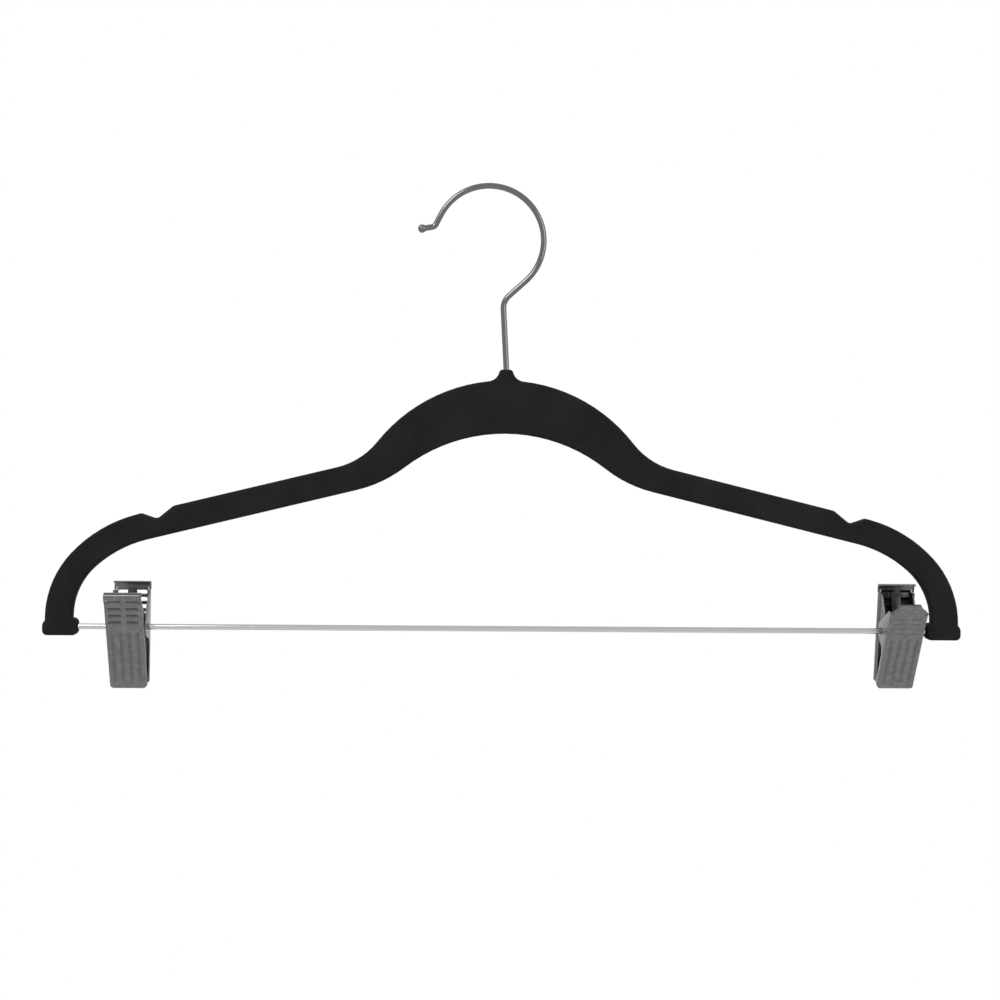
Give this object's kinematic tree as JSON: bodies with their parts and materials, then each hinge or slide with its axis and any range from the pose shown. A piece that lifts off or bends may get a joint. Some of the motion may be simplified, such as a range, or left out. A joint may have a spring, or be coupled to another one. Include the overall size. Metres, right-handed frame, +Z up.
{
  "type": "clothes hanger",
  "caption": "Flocked clothes hanger with a swivelling wire hook and a wire bar that carries sliding sprung trouser clips.",
  "frame": {"origin": "the point inside the hook's crook that rests on a rail, over the middle of the hanger", "axes": "+X along the bar to the right of somebody facing the hanger, -Y towards that person, +Z up"},
  "size_m": [0.45, 0.033, 0.2494],
  "materials": {
    "velvet_black": "black velvet flock on moulded plastic",
    "wire_chrome": "bright chrome-plated steel wire",
    "jaw_steel": "satin zinc-plated pressed sheet",
    "spring_steel": "tempered spring strip"
  },
  "bodies": {
    "frame": {"hanger_body": "velvet_black", "trouser_bar": "wire_chrome"},
    "hook": {"hook": "wire_chrome"},
    "left_carrier": {"left_spring": "spring_steel"},
    "left_rear": {"left_rear_jaw": "jaw_steel"},
    "left_front": {"left_front_jaw": "jaw_steel"},
    "right_carrier": {"right_spring": "spring_steel"},
    "right_rear": {"right_rear_jaw": "jaw_steel"},
    "right_front": {"right_front_jaw": "jaw_steel"}
  },
  "joints": [
    {"name": "hook_swivel", "type": "hinge", "parent": "frame", "child": "hook", "pos_m": [0, 0, -0.09336], "axis": [0, 0, 1], "continuous": true},
    {"name": "left_clip_slide", "type": "slide", "parent": "frame", "child": "left_carrier", "axis": [1, 0, 0], "range_m": [-0.0117, 0.1739]},
    {"name": "left_clip_swing", "type": "hinge", "parent": "left_carrier", "child": "left_rear", "pos_m": [-0.1835, 0, -0.21436], "axis": [1, 0, 0], "range_deg": [-129.3, 110.7]},
    {"name": "left_jaw_open", "type": "hinge", "parent": "left_rear", "child": "left_front", "pos_m": [-0.1835, 0, -0.21436], "axis": [1, 0, 0], "range_deg": [-30, 0], "stiffness_Nm_per_rad": 0.1, "springref_deg": 45.84, "deforming": ["left_spring"]},
    {"name": "right_clip_slide", "type": "slide", "parent": "frame", "child": "right_carrier", "axis": [1, 0, 0], "range_m": [-0.1856, 0]},
    {"name": "right_clip_swing", "type": "hinge", "parent": "right_carrier", "child": "right_rear", "pos_m": [0.1952, 0, -0.21436], "axis": [1, 0, 0], "range_deg": [-140.1, 99.9]},
    {"name": "right_jaw_open", "type": "hinge", "parent": "right_rear", "child": "right_front", "pos_m": [0.1952, 0, -0.21436], "axis": [1, 0, 0], "range_deg": [-30, 0], "stiffness_Nm_per_rad": 0.1, "springref_deg": 45.84, "deforming": ["right_spring"]}
  ]
}
